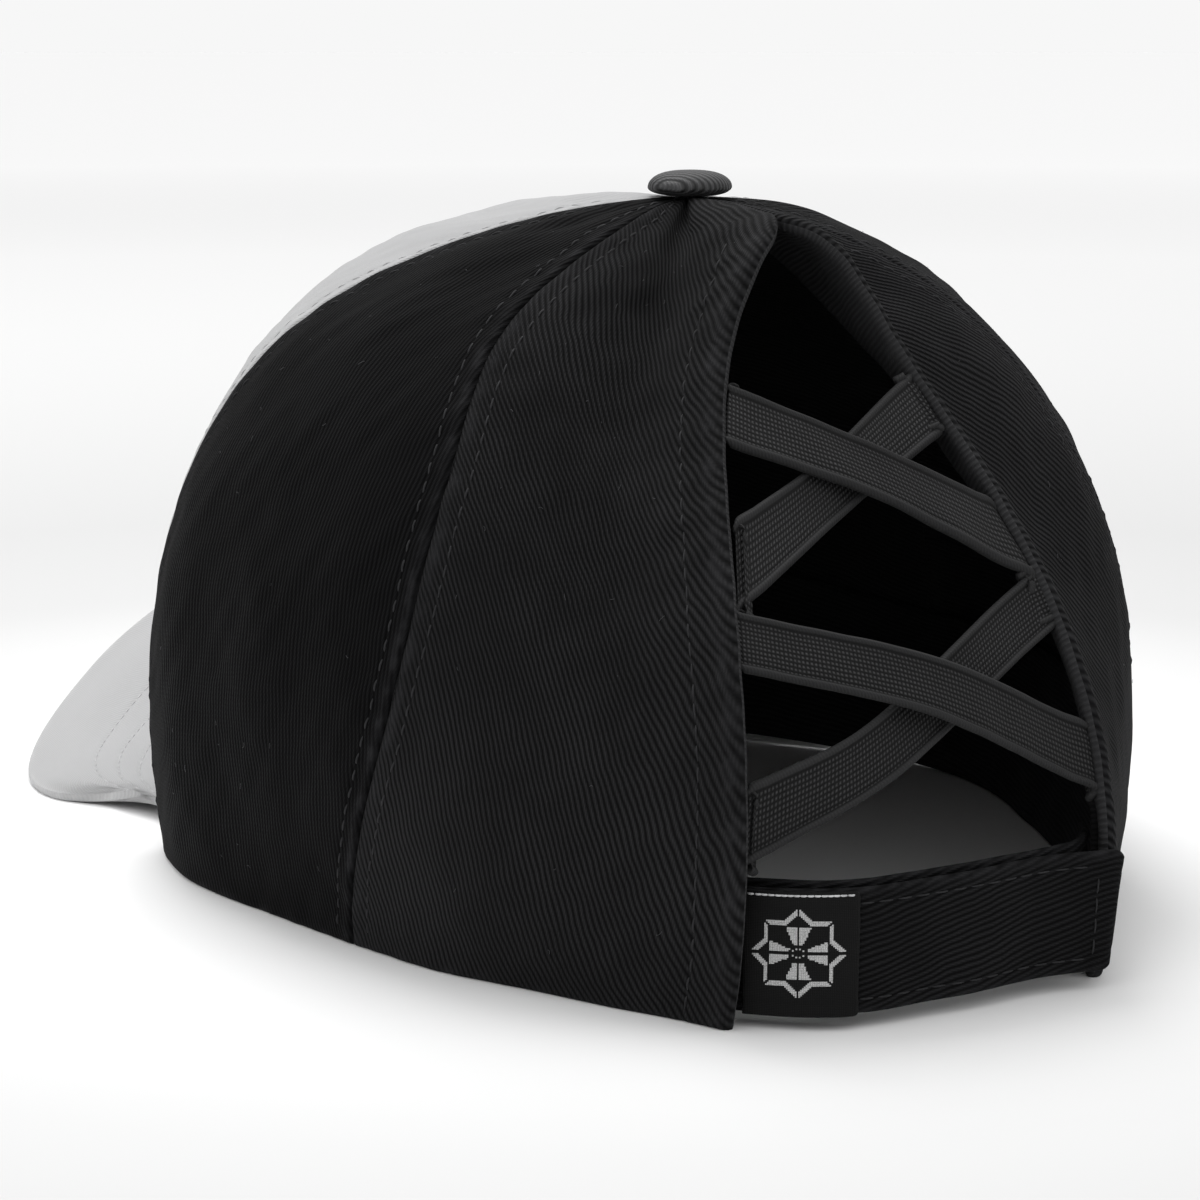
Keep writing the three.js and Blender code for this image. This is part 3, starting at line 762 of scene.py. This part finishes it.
def peak_faces(share, along):
    """Upper and under face of the peak, at a share of its width and of the way from the crown to its edge."""
    share, along = np.broadcast_arrays(share, along)

    def under(across, outwards):
        root = peak_root(across, 0)
        return root + (peak_edge(across) - root) * outwards[..., None]

    step = 0.01
    sideways = under(np.minimum(share + step, 1), along) - under(np.maximum(share - step, 0), along)
    outwards = under(share, np.minimum(along + step, 1)) - under(share, np.maximum(along - step, 0))
    normal = unit(np.cross(outwards, sideways))
    level = smoothstep(np.abs(2 * share - 1), 0.75, 1)[..., None]
    normal = unit(normal * (1 - level) + np.array([0, 0, 1]) * level)
    low = under(share, along)
    rise = peak_root(share, PEAK_WALL) - peak_root(share, 0)
    blend = smoothstep(along, 0, 0.5)[..., None]
    return low + rise * (1 - blend) + normal * PEAK_WALL * blend, low, normal


def peak_surface(share, along):
    upper, low, normal = peak_faces(share, along)
    length = PEAK_LENGTH * 0.85
    edge = np.minimum((1 - along) * length, np.minimum(share, 1 - share) * PEAK_WIDTH)
    upper = upper + (low - upper) * (0.5 * (1 - smoothstep(edge, 0, PEAK_THIN)))[..., None]
    back = rounding(edge, PEAK_WALL / 4)
    groove = sum(np.exp(-((along - row) * length / 0.55) ** 2) for row in PEAK_ROWS)
    pad = 0.25 * unevenness(share * PEAK_WIDTH, along * length, 26, 61) * smoothstep(edge, 0, 8)
    upper = upper + normal * (pad - 0.22 * groove - back)[..., None]
    low = low + normal * (back + 0.15 * groove)[..., None]
    return upper, low, normal


def build_peak():
    share = np.concatenate([[0, 0.001, 0.0025, 0.005], np.linspace(0.009, 0.991, 210), [0.995, 0.9975, 0.999, 1]])
    along = np.concatenate([np.linspace(0, 0.972, 110), [0.977, 0.981, 0.985, 0.989, 0.993, 0.996, 0.9985, 1]])
    share, along = np.meshgrid(share, along)
    upper, low, _ = peak_surface(share, along)
    worn = np.exp(-((1 - along) * PEAK_LENGTH / 1.5) ** 2)
    make_sheet("peak_cloth", upper, low, [grey_cloth], "peak", (share - 0.5) * PEAK_WIDTH,
               along * PEAK_LENGTH, worn)
    share = np.linspace(0.03, 0.97, 500)
    rows = []
    for row in PEAK_ROWS:
        upper, _, normal = peak_surface(share, np.full(share.shape, row))
        rows.append((upper, normal))
    stitches("peak_stitches", rows, grey_thread, radius=0.15)


build_peak()


# Button: a cloth dome gathered under its rim
def build_button():
    sides, levels = 72, 22
    angle = np.linspace(0, TURN, sides, endpoint=False)
    share = np.linspace(0, 1, levels)
    tilt = np.radians(-62 + 152 * share)
    middle = BUTTON_TALL * 0.36
    tall = np.where(tilt < 0, middle, BUTTON_TALL - middle)
    reach = BUTTON_RADIUS * np.maximum(np.cos(tilt), 0) ** 0.72
    rise = middle + tall * np.sin(tilt)
    fold = 1 + 0.03 * np.sin(angle * 9) * np.exp(-((tilt[:, None] + 0.6) / 0.5) ** 2)
    points = np.stack([reach[:, None] * fold * np.cos(angle), reach[:, None] * fold * np.sin(angle),
                       CROWN_HEIGHT + 0.1 + rise[:, None] * np.ones(sides)], -1)
    index = np.arange(levels * sides).reshape(levels, sides)
    ahead = np.roll(index, -1, 1)
    faces = np.stack([index[:-1], ahead[:-1], ahead[1:], index[1:]], -1).reshape(-1, 4)
    faces = [list(face) for face in faces[:-sides]] + [list(index[-2])] + [list(index[0][::-1])]
    flat = points.reshape(-1, 3)
    worn = np.tile(np.exp(-((tilt - 0.1) / 0.35) ** 2)[:, None], (1, sides)).ravel() * 0.6
    make_piece("button_cloth", flat, faces, [black_button_painted_sheen], ["button"], flat[:, :2], None, worn)


build_button()


# Bands between smooth curves
def smooth_path(points, count):
    """Even points along a curve through a few points."""
    points = np.array(points)
    ends = np.concatenate([[2 * points[0] - points[1]], points, [2 * points[-1] - points[-2]]])
    stretch = np.linspace(0, 1, 80)[:, None]
    parts = []
    for a, b, c, d in zip(ends, ends[1:], ends[2:], ends[3:]):
        t0, t1, t2 = (max(np.linalg.norm(q - p) ** 0.5, 1e-4) for p, q in ((a, b), (b, c), (c, d)))
        leave = ((b - a) / t0 - (c - a) / (t0 + t1) + (c - b) / t1) * t1
        arrive = ((c - b) / t1 - (d - b) / (t1 + t2) + (d - c) / t2) * t1
        square = -3 * b + 3 * c - 2 * leave - arrive
        parts.append(b + leave * stretch + square * stretch ** 2 + (2 * b - 2 * c + leave + arrive) * stretch ** 3)
    dense = np.concatenate(parts)
    total = arc_lengths(dense)
    return interpolate(np.linspace(0, total[-1], count), total, dense)


def onto_skin(point, depth):
    outer = point.copy()
    for _ in range(8):
        turn = math.degrees(math.atan2(outer[0], -outer[1]))
        climb = climb_at_height(turn, outer[2])
        foot, normal = crown_point(turn, climb), crown_normal(turn, climb)
        outer = point + normal * np.dot(foot - point, normal)
    return foot - normal * depth


def build_elastic(name, row):
    left_climb, right_climb, share, bow, rise, face, layer = row
    depth = HEM_WALL + ELASTIC_GAP + layer * (ELASTIC_WALL + ELASTIC_GAP)
    left_turn, right_turn = opening_turn(left_climb), -opening_turn(right_climb)
    left, right = crown_skin(left_turn, left_climb, -depth), crown_skin(right_turn, right_climb, -depth)
    span = np.linalg.norm(right - left)
    way = (right - left) / span
    backward = np.array([0, 1, 0])
    middle = left + (right - left) * share + backward * bow * span + np.array([0, 0, 1]) * rise * span
    left_normal, right_normal = crown_normal(left_turn, left_climb), crown_normal(right_turn, right_climb)
    flat = unit(left_normal + right_normal)

    upward = unit(np.cross(flat, way))

    def hem_place(sign, climb, point, side):
        """Where one edge of the elastic goes behind the hem."""
        climbs = np.linspace(climb - 0.15, climb + 0.15, 61)
        hem = crown_skin(sign * opening_turn(climbs), climbs, -depth)
        found = np.interp(side * ELASTIC_WIDTH / 2, (hem - point) @ upward, climbs)
        return interpolate(found, climbs, hem)

    def edge(side):
        start, stop = hem_place(1, left_climb, left, side), hem_place(-1, right_climb, right, side)
        top = unit(np.cross(flat + (backward - flat) * face, way))
        centre = middle + top * side * ELASTIC_WIDTH / 2
        points = [onto_skin(start - way * ELASTIC_TUCK, depth)]
        past = -0.04 - 0.09 * layer
        points += [start + (centre - start) * place for place in (past, 0.14)]
        points += [centre]
        points += [stop + (centre - stop) * place for place in (0.14, past)]
        return smooth_path([*points, onto_skin(stop + way * ELASTIC_TUCK, depth)], 170)

    low, high = edge(-1), edge(1)
    tangent = unit(np.gradient(low, axis=0) + np.gradient(high, axis=0))
    out = -unit(np.cross(high - low, tangent))
    half = ELASTIC_WIDTH / 2
    across = half * np.sin(np.linspace(-math.pi / 2, math.pi / 2, 31))
    share = (across / half + 1)[:, None] / 2
    along = arc_lengths((low + high) / 2)
    middle = low[:, None] + (high - low)[:, None] * share
    corded = 0.34 * np.exp(-((np.abs(across) - half + 0.55) / 0.42) ** 2) - 0.2 * np.exp(
        -((np.abs(across) - half + 1.25) / 0.2) ** 2)
    drawn = rounding(half - np.abs(across), ELASTIC_WALL / 2)
    wave = 0.12 * unevenness(along[:, None], across[None], 9, int(left_climb * 100))
    outer = middle + out[:, None] * (corded - drawn + wave)[..., None]
    inner = middle - out[:, None] * (ELASTIC_WALL + corded - drawn - wave)[..., None]
    make_sheet(name + "_knit", outer, inner, [knitted], name, along[:, None], across[None])


for name, row in ELASTICS.items():
    build_elastic(name, row)


# Closure
def hem_point(sign, past, depth):
    middle = STRAP_LIFT + STRAP_WIDTH / 2
    edge = float(opening_turn(0.0))
    turn = edge - math.degrees(past / crown_profile(edge, 0)[0])
    return crown_skin(sign * turn, climb_at_height(turn, middle), -depth)


def closure_points(inwards):
    corner = hem_point(1, 0, 0)
    return [np.array([side * OPENING_WIDTH / 2, corner[1] + back * CROWN_LENGTH - inwards, corner[2]])
            for side, back in zip(CLOSURE_SIDE, CLOSURE_BACK)]


def closure_path(points, lift, count=400):
    points = np.array(points)
    rise = np.clip(0.5 - points[:, 0] / OPENING_WIDTH, 0, 1) * STRAP_RISE
    points[:, 2] = STRAP_LIFT + STRAP_WIDTH / 2 + lift + rise
    return smooth_path(points, count)


STRAP_DEPTH = HEM_WALL + CLOSURE_INSET + LABEL_WALL + STRAP_WALL / 2


def strap_path():
    end = hem_point(-1, 0, 0) + np.array([STRAP_SHORT, STRAP_PROUD + STRAP_WALL / 2, 0])
    left = [hem_point(1, tuck, STRAP_DEPTH) for tuck in (STRAP_TUCK, LABEL_TUCK)]
    return closure_path([*left, *closure_points(0), end], 0)


class Band:
    """A flat upright band along a path, with rounded edges and its end cut back at the bottom."""

    def __init__(self, path, width, wall, distance=0.0, start=0.0, stop=None, corner=0.0, cut=0.0, seed=1):
        total = arc_lengths(path)
        self.total, self.path = total, path
        self.width, self.wall, self.distance, self.corner, self.seed = width, wall, distance, corner, seed
        self.start, self.stop, self.cut = start, total[-1] if stop is None else stop, cut

    def place(self, along, across, out):
        """Points at lengths along the path, heights from the band's middle, and distances out from its middle."""
        along, across, out = np.broadcast_arrays(along, across, out)
        point, ahead, behind = (interpolate(along + step, self.total, self.path) for step in (0, 0.5, -0.5))
        upward = np.array([0, 0, 1.0])
        normal = unit(np.cross(ahead - behind, upward))
        return point + upward * across[..., None] + normal * (self.distance + out)[..., None], normal

    def face(self, along, across):
        """Outer and inner points with the edges rounded and the cloth slightly uneven."""
        along, across = np.broadcast_arrays(along, across)
        half = self.width / 2
        end = self.stop - along
        short = np.clip(1 - end / self.corner, 0, 1) if self.corner else 0 * along
        limit = half - self.corner * (1 - np.sqrt(1 - short ** 2))
        height = across / half * limit
        edge = np.minimum(limit - np.abs(height), np.minimum(end, along - self.start))
        back = rounding(edge, self.wall / 2)
        row = -0.16 * np.exp(-((limit - np.abs(height) - STITCH_INSET) / 0.4) ** 2)
        wave = 0.16 * unevenness(along, height, 11, self.seed)
        place = along - self.cut * (0.5 - across / self.width) * smoothstep(along, self.stop - 9, self.stop)
        outer, normal = self.place(place, height, self.wall / 2 - back + row + wave)
        inner, _ = self.place(place, height, back - self.wall / 2 + wave)
        return outer, inner, normal, edge

    def build(self, name, material, slot, node, spacing=0.7):
        length = self.stop - self.start
        margins = np.array([0, 0.1, 0.3, 0.55])
        along = np.concatenate([self.start + margins, np.linspace(self.start + 0.9, self.stop - 0.9,
                                                                  int(length / spacing)), self.stop - margins[::-1]])
        half = self.width / 2
        across = half * np.sin(np.linspace(-math.pi / 2, math.pi / 2, 37))
        outer, inner, _, edge = self.face(along[:, None], across[None])
        make_sheet(name, outer, inner, [material], node, (along - self.start)[:, None], across[None],
                   np.exp(-(edge / 0.9) ** 2), True)

    def row(self, height, start, stop):
        along = np.linspace(start, stop, 300)
        outer, _, normal, _ = self.face(along, np.full(300, height))
        return outer, normal


strap = Band(strap_path(), STRAP_WIDTH, STRAP_WALL, corner=1.6, cut=STRAP_END_CUT, seed=81)
strap.build("closure_strap_cloth", black_strap, "black_twill", "closure_strap")

inwards = STRAP_WALL / 2 + 2 * PIECE_GAP + TAB_WALL / 2
tab_left = STRAP_DEPTH + inwards
tab_right = HEM_WALL + CLOSURE_INSET + TAB_WALL / 2
tab_path = closure_path([hem_point(1, LABEL_TUCK, tab_left), *closure_points(inwards), hem_point(-1, 0, tab_right),
                         hem_point(-1, STRAP_TUCK, tab_right)], TAB_RISE)
tab = Band(tab_path, STRAP_WIDTH, TAB_WALL, seed=82)
tab.build("closure_tab_cloth", black_strap, "black_twill", "closure_tab")

tucked = (STRAP_TUCK - LABEL_TUCK) / STRAP_TUCK * np.linalg.norm(strap.path[0] - hem_point(1, 0, 0))
gone = np.linalg.norm(strap.path - strap.path[0], axis=1)
label_start = float(np.interp(tucked, gone[:150], strap.total[:150]))
label = Band(strap.path, STRAP_WIDTH, LABEL_WALL, STRAP_WALL / 2 + PIECE_GAP + LABEL_WALL / 2, label_start,
             label_start + LABEL_LENGTH, corner=0.8, seed=83)
label.build("label_cloth", woven, "woven_label", "label", spacing=0.35)

half = STRAP_WIDTH / 2
first, last = STRAP_STITCHES[0], strap.stop - STRAP_STITCHES[1]
strap_rows = [strap.row(height, first, last) for height in (half - STITCH_INSET, STITCH_INSET - half)]
outer, _, normal, _ = strap.face(np.full(100, last), np.linspace(2.4 - half, half - 2.4, 100))
strap_rows.append((outer, normal))
stitches("strap_stitches", strap_rows, black_thread, radius=0.14)
label_rows = [label.row(half - 0.5, label.start + 0.4, label.stop - 0.4)]
stitches("label_edge_thread", label_rows, pale_thread, radius=0.15, pitch=0.95, length=1.1)


# Sweatband; at the front it hangs below the raised rim, a dark sheet in place of the shade on the floor inside the cap
def build_sweatband():
    depth = CLOTH_WALL + 2 * PIECE_GAP
    turn, across = np.meshgrid(np.linspace(-BAND_END_TURN, BAND_END_TURN, 260), np.linspace(0, 1, 26))
    rim = rim_height(turn)
    height = rim * BAND_SHADE_DROP + BAND_LIFT + across * (BAND_HEIGHT + rim * (1 - BAND_SHADE_DROP))
    climb = climb_at_height(turn, height)
    # Where the band lies below the rim it is moved straight down, hanging as a dark sheet in place of shade
    shade_hang = np.minimum(height - rim, 0)[..., None] * np.array([0, 0, 1])
    length = np.radians(turn) * 90
    edge = np.minimum(across, 1 - across) * BAND_HEIGHT
    back = rounding(edge, BAND_WALL / 2)
    roll = 0.25 * np.exp(-((edge - 1.2) / 0.8) ** 2) + 0.25 * unevenness(length, across * BAND_HEIGHT, 22, 71)
    outer = crown_skin(turn, climb, -depth - back) + shade_hang
    inner = crown_skin(turn, climb, back - depth - BAND_WALL - 0.4 - roll) + shade_hang
    make_sheet("sweatband_cloth", outer, inner, [black_lining], "sweatband", length,
               across * BAND_HEIGHT, np.exp(-edge ** 2))


build_sweatband()


# Lint on the black cloth
def build_lint():
    chance = np.random.RandomState(23)
    fibres = []
    for name, count in LINT.items():
        panel = panels[name]
        for _ in range(count):
            climb = chance.uniform(0.03, 0.85)
            width = float(panel.width(climb))
            length, curl, heading = chance.uniform(0.3, 1.3), chance.uniform(-2.5, 2.5), chance.uniform(0, 6.3)
            share = np.linspace(0, 1, 8)
            angle = heading + curl * share
            across = chance.uniform(0.1, 0.9) * width + np.cumsum(np.cos(angle)) * length / 8
            rise = climb + np.cumsum(np.sin(angle)) * length / 8 / panel.arcs[-1]
            outer, _, normal, _ = panel.surface(across, rise)
            fibres.append((outer + normal * 0.12, normal))
    sides = np.arange(3) * TURN / 3
    points, faces = [], []
    for path, normal in fibres:
        forward = unit(np.gradient(path, axis=0))
        side = np.cross(normal, forward)
        ring = normal[:, None] * np.sin(sides)[:, None] + side[:, None] * np.cos(sides)[:, None]
        first = 24 * len(points)
        points.append((path[:, None] + ring * LINT_RADIUS).reshape(-1, 3))
        faces += grid_ring(first, 8, 3)
    make_piece("lint", np.concatenate(points), faces, [lint_fibre])


def grid_ring(first, levels, sides):
    faces = [[first + i for i in range(sides)][::-1], [first + (levels - 1) * sides + i for i in range(sides)]]
    for level in range(levels - 1):
        for side in range(sides):
            a, b = first + level * sides + side, first + level * sides + (side + 1) % sides
            faces.append([a, b, b + sides, a + sides])
    return faces


build_lint()


# Stage: a pale flat floor with painted light, in a white room, with soft light from above and both sides
def build_stage():
    """A large round floor with painted light: its tone changes with the distance from the cap, lightest beside the cap
    where its shadow falls, darkest about a third of a metre out and light again far off.
    """
    turns = np.linspace(0, TURN, FLOOR_SIDES, endpoint=False)
    rings = np.stack([np.outer(FLOOR_RINGS, np.cos(turns)), np.outer(FLOOR_RINGS, np.sin(turns)),
                      np.zeros((2, FLOOR_SIDES))], -1)
    index = np.arange(2 * FLOOR_SIDES).reshape(2, FLOOR_SIDES)
    ahead = np.roll(index, -1, 1)
    faces = np.stack([index[0], index[1], ahead[1], ahead[0]], -1).tolist()
    mesh = bpy.data.meshes.new("floor")
    mesh.from_pydata(rings.reshape(-1, 3).tolist(), [], [*faces, index[0].tolist()])
    s = Shading("paper_painted_light", (0.7, 0.7, 0.7), 0.9, specular=0.1)
    length = s.nodes.new("ShaderNodeVectorMath")
    length.operation = "LENGTH"
    s.links.new(s.place, length.inputs[0])
    # The ramp paints light onto the floor: lighter by the cap, where its shadow falls, darker further out
    pale = s.nodes.new("ShaderNodeValToRGB")
    stops = pale.color_ramp.elements
    for stop, (away, _) in zip((stops[0], stops[1]), (FLOOR_PAINTED_LIGHT[0], FLOOR_PAINTED_LIGHT[-1])):
        stop.position = away / FLOOR_FADE
    for away, _ in FLOOR_PAINTED_LIGHT[1:-1]:
        stops.new(away / FLOOR_FADE)
    for stop, (_, tone) in zip(stops, FLOOR_PAINTED_LIGHT):
        stop.color = (tone, tone, tone, 1)
    s.links.new(s.math("DIVIDE", length.outputs["Value"], FLOOR_FADE), pale.inputs["Fac"])
    s.links.new(pale.outputs["Color"], s.shader.inputs["Base Color"])
    mesh.materials.append(s.material)
    add_object("floor", mesh)


def build_world():
    """A white room, which lights more from above than from the horizon."""
    world = bpy.data.worlds.new("studio")
    world.use_nodes = True
    nodes, links = world.node_tree.nodes, world.node_tree.links
    heading = nodes.new("ShaderNodeTexCoord")
    split = nodes.new("ShaderNodeSeparateXYZ")
    links.new(heading.outputs["Generated"], split.inputs[0])
    glow = nodes.new("ShaderNodeMapRange")
    links.new(split.outputs[2], glow.inputs["Value"])
    for socket, number in (("From Min", 0.0), ("From Max", 1.0), ("To Min", WORLD_LOW), ("To Max", WORLD_HIGH)):
        glow.inputs[socket].default_value = number
    ray = nodes.new("ShaderNodeLightPath")
    seen = nodes.new("ShaderNodeMix")
    links.new(ray.outputs["Is Camera Ray"], seen.inputs[0])
    links.new(glow.outputs["Result"], seen.inputs[2])
    seen.inputs[3].default_value = WORLD_SEEN
    background = nodes["Background"]
    background.inputs["Color"].default_value = (1, 1, 1, 1)
    links.new(seen.outputs[0], background.inputs["Strength"])
    bpy.context.scene.world = world


build_stage()
build_world()
bpy.context.scene.view_settings.view_transform = "Standard"


# Lamps and camera
def aimed(name, data, place, back, right):
    """Adds an object that looks the way opposite to back, with its own X axis to the right."""
    axes = np.stack([right, np.cross(back, right), back, place], 1)
    item = add_object(name, data)
    item.matrix_world = Matrix([*axes.tolist(), [0, 0, 0, 1]])
    return item


def build_lamps():
    for name, (place, target, power) in LAMPS.items():
        data = bpy.data.lights.new(name, "AREA")
        data.shape, data.size, data.energy = "SQUARE", LAMP_SIDE, power
        back = unit(np.array(place) - np.array(target))
        aimed(name, data, place, back, unit(np.cross([0, 0, 1], back)))


def build_camera():
    turn, rise = math.radians(VIEW_TURN), math.radians(VIEW_RISE)
    back = np.array([math.sin(turn) * math.cos(rise), -math.cos(turn) * math.cos(rise), math.sin(rise)])
    right = np.array([math.cos(turn), math.sin(turn), 0])
    eye = (right * VIEW_ACROSS + np.cross(back, right) * VIEW_UP + back * VIEW_DISTANCE) * MM + AXIS
    data = bpy.data.cameras.new("camera")
    data.sensor_width = SENSOR
    data.lens = VIEW_FOCAL / PHOTO_SIDE * SENSOR
    data.clip_start = 0.01
    bpy.context.scene.camera = aimed("camera", data, eye, back, right)


build_lamps()
build_camera()
